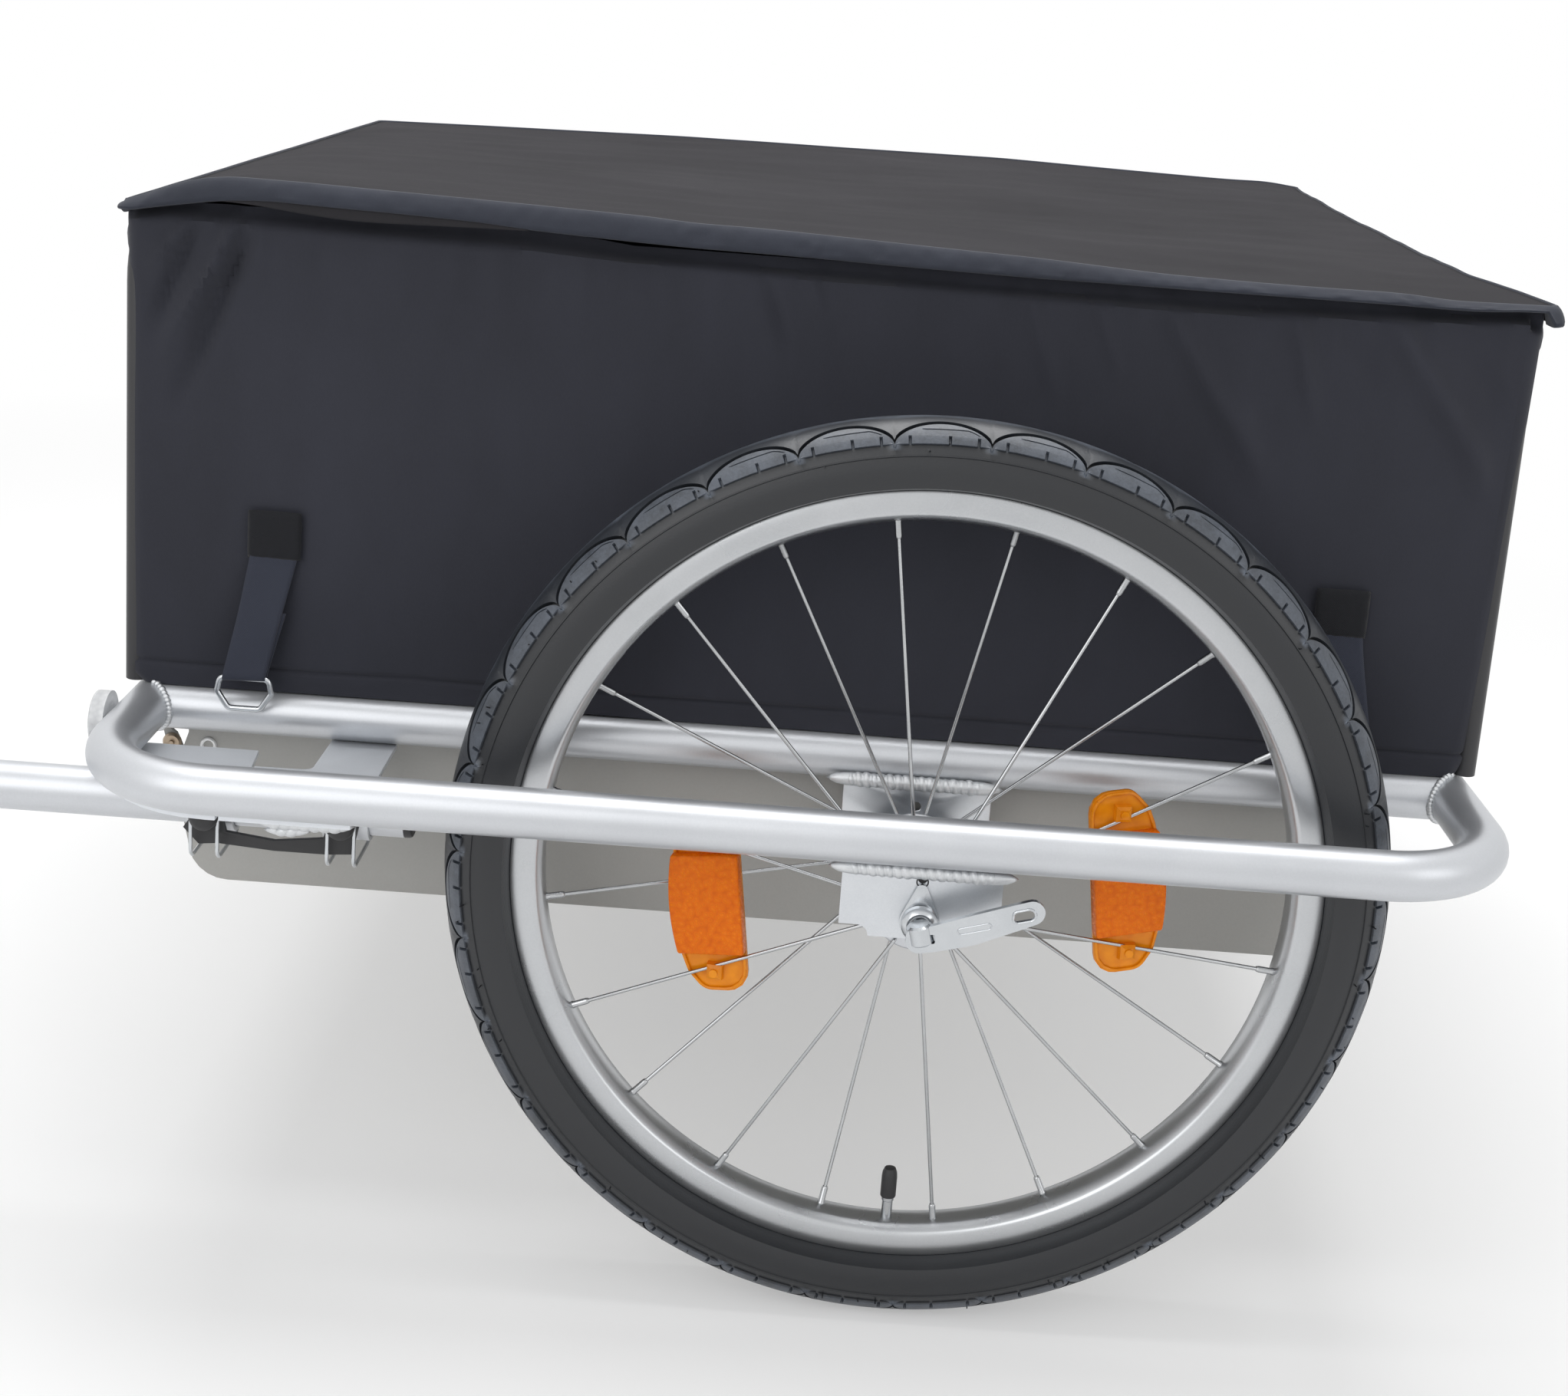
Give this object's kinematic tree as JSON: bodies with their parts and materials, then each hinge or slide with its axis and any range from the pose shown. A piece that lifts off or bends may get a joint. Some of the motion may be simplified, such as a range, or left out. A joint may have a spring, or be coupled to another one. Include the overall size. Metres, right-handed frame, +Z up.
{
  "type": "bike cargo trailer",
  "caption": "Bicycle cargo trailer: bent tube frame between quick-release spoked wheels, cloth covered box with a lid, pinned tow bar and swivelling hitch.",
  "frame": {"origin": "point on the ground under the middle of the whole trailer's box", "axes": "+X forward along the tow bar's pull, +Y left, +Z up"},
  "size_m": [1.4953, 0.9722, 0.5561],
  "materials": {
    "aluminium": "satin",
    "panel": "matte grey",
    "steel": "bright",
    "tyre": "matte",
    "cloth": "woven, dull",
    "orange_lens": "glossy",
    "pale_lens": "glossy",
    "black_plastic": "matte"
  },
  "bodies": {
    "frame": {"bar_plug": "black_plastic", "bar_saddle_front": "aluminium", "bar_saddle_rear": "aluminium", "bracket_front": "aluminium", "bracket_rear": "aluminium", "cover_hoops": "steel", "cover_walls": "cloth", "dropout_inner_left": "aluminium", "dropout_inner_right": "aluminium", "dropout_outer_left": "aluminium", "dropout_outer_right": "aluminium", "floor_pan": "panel", "frame_loop": "aluminium", "front_reflector_left": "pale_lens", "front_reflector_right": "pale_lens", "hook_washer_left": "steel", "hook_washer_right": "steel", "hub_axle_left": "steel", "hub_axle_right": "steel", "inner_rail_left": "aluminium", "inner_rail_right": "aluminium", "lanyard": "black_plastic", "side_panel_left": "panel", "side_panel_right": "panel", "skewer_left": "steel", "skewer_right": "steel", "tow_bar": "aluminium"},
    "wheel_left": {"tyre_left": "tyre", "spoked_rim_left": "aluminium", "hub_shell_left": "aluminium", "hub_bearing_left": "steel", "spoke_reflector_front_left": "orange_lens", "spoke_reflector_rear_left": "orange_lens", "valve_left": "black_plastic"},
    "cam_lever_left": {"cam_lever_left": "steel"},
    "skewer_nut_left": {"skewer_nut_left": "steel"},
    "wheel_right": {"tyre_right": "tyre", "spoked_rim_right": "aluminium", "hub_shell_right": "aluminium", "hub_bearing_right": "steel", "spoke_reflector_front_right": "orange_lens", "spoke_reflector_rear_right": "orange_lens", "valve_right": "black_plastic"},
    "cam_lever_right": {"cam_lever_right": "steel"},
    "skewer_nut_right": {"skewer_nut_right": "steel"},
    "lock_pin_front": {"lock_pin_front": "steel"},
    "pin_bail_front": {"pin_bail_front": "steel"},
    "lock_pin_rear": {"lock_pin_rear": "steel"},
    "pin_bail_rear": {"pin_bail_rear": "steel"},
    "ring_front_left": {"ring_front_left": "steel"},
    "ring_rear_left": {"ring_rear_left": "steel"},
    "ring_front_right": {"ring_front_right": "steel"},
    "ring_rear_right": {"ring_rear_right": "steel"},
    "cover_lid": {"cover_lid": "cloth"},
    "hitch_swivel": {"hitch_swivel": "steel"},
    "hitch_yoke": {"hitch_yoke": "steel", "hitch_pin": "steel"},
    "hitch_coupler": {"hitch_coupler": "steel", "coupler_bolt": "steel"}
  },
  "joints": [
    {"name": "wheel_spin_left", "type": "hinge", "parent": "frame", "child": "wheel_left", "pos_m": [-0.44154, 0.4047, 0.2445], "axis": [0, 1, 0], "continuous": true},
    {"name": "cam_lever_swing_left", "type": "hinge", "parent": "frame", "child": "cam_lever_left", "pos_m": [-0.44154, 0.4754, 0.2445], "axis": [-0.342, 0, -0.9397], "range_deg": [0, 150]},
    {"name": "skewer_nut_turn_left", "type": "hinge", "parent": "frame", "child": "skewer_nut_left", "pos_m": [-0.44154, 0.3504, 0.2445], "axis": [0, 1, 0], "continuous": true},
    {"name": "wheel_spin_right", "type": "hinge", "parent": "frame", "child": "wheel_right", "pos_m": [-0.44154, -0.4047, 0.2445], "axis": [0, 1, 0], "continuous": true},
    {"name": "cam_lever_swing_right", "type": "hinge", "parent": "frame", "child": "cam_lever_right", "pos_m": [-0.44154, -0.4754, 0.2445], "axis": [0.342, 0, 0.9397], "range_deg": [0, 150]},
    {"name": "skewer_nut_turn_right", "type": "hinge", "parent": "frame", "child": "skewer_nut_right", "pos_m": [-0.44154, -0.3504, 0.2445], "axis": [0, 1, 0], "continuous": true},
    {"name": "lock_pin_front_pull", "type": "slide", "parent": "frame", "child": "lock_pin_front", "axis": [0, 1, 0], "range_m": [0, 0.052]},
    {"name": "pin_bail_front_swing", "type": "hinge", "parent": "lock_pin_front", "child": "pin_bail_front", "pos_m": [-0.07754, 0.4281, 0.2607], "axis": [1, 0, 0], "range_deg": [0, 112]},
    {"name": "lock_pin_rear_pull", "type": "slide", "parent": "frame", "child": "lock_pin_rear", "axis": [0, 1, 0], "range_m": [0, 0.052]},
    {"name": "pin_bail_rear_swing", "type": "hinge", "parent": "lock_pin_rear", "child": "pin_bail_rear", "pos_m": [-0.14704, 0.4281, 0.2607], "axis": [1, 0, 0], "range_deg": [0, 112]},
    {"name": "ring_front_left_swing", "type": "hinge", "parent": "frame", "child": "ring_front_left", "pos_m": [-0.08004, 0.3579, 0.3125], "axis": [1, 0, 0], "range_deg": [0, 60]},
    {"name": "ring_rear_left_swing", "type": "hinge", "parent": "frame", "child": "ring_rear_left", "pos_m": [-0.66904, 0.3579, 0.3125], "axis": [1, 0, 0], "range_deg": [0, 60]},
    {"name": "ring_front_right_swing", "type": "hinge", "parent": "frame", "child": "ring_front_right", "pos_m": [-0.08004, -0.3579, 0.3125], "axis": [-1, 0, 0], "range_deg": [0, 60]},
    {"name": "ring_rear_right_swing", "type": "hinge", "parent": "frame", "child": "ring_rear_right", "pos_m": [-0.66904, -0.3579, 0.3125], "axis": [-1, 0, 0], "range_deg": [0, 60]},
    {"name": "lid_fold", "type": "hinge", "parent": "frame", "child": "cover_lid", "pos_m": [-0.00554, 0, 0.5561], "axis": [0, 1, 0], "range_deg": [0, 110]},
    {"name": "hitch_roll", "type": "hinge", "parent": "frame", "child": "hitch_swivel", "pos_m": [0.63846, 0.12, 0.33], "axis": [1, 0, 0], "range_deg": [-90, 90]},
    {"name": "hitch_yaw", "type": "hinge", "parent": "hitch_swivel", "child": "hitch_yoke", "pos_m": [0.68346, 0.12, 0.33], "axis": [0, 0, 1], "range_deg": [-70, 70]},
    {"name": "hitch_pitch", "type": "hinge", "parent": "hitch_yoke", "child": "hitch_coupler", "pos_m": [0.70746, 0.12, 0.33], "axis": [0, 1, 0], "range_deg": [-45, 45]}
  ],
  "couplings": [
    {"joint": "pin_bail_front_swing", "follows": "lock_pin_front_pull", "rad_per_m": 37},
    {"joint": "pin_bail_rear_swing", "follows": "lock_pin_rear_pull", "rad_per_m": 37}
  ]
}
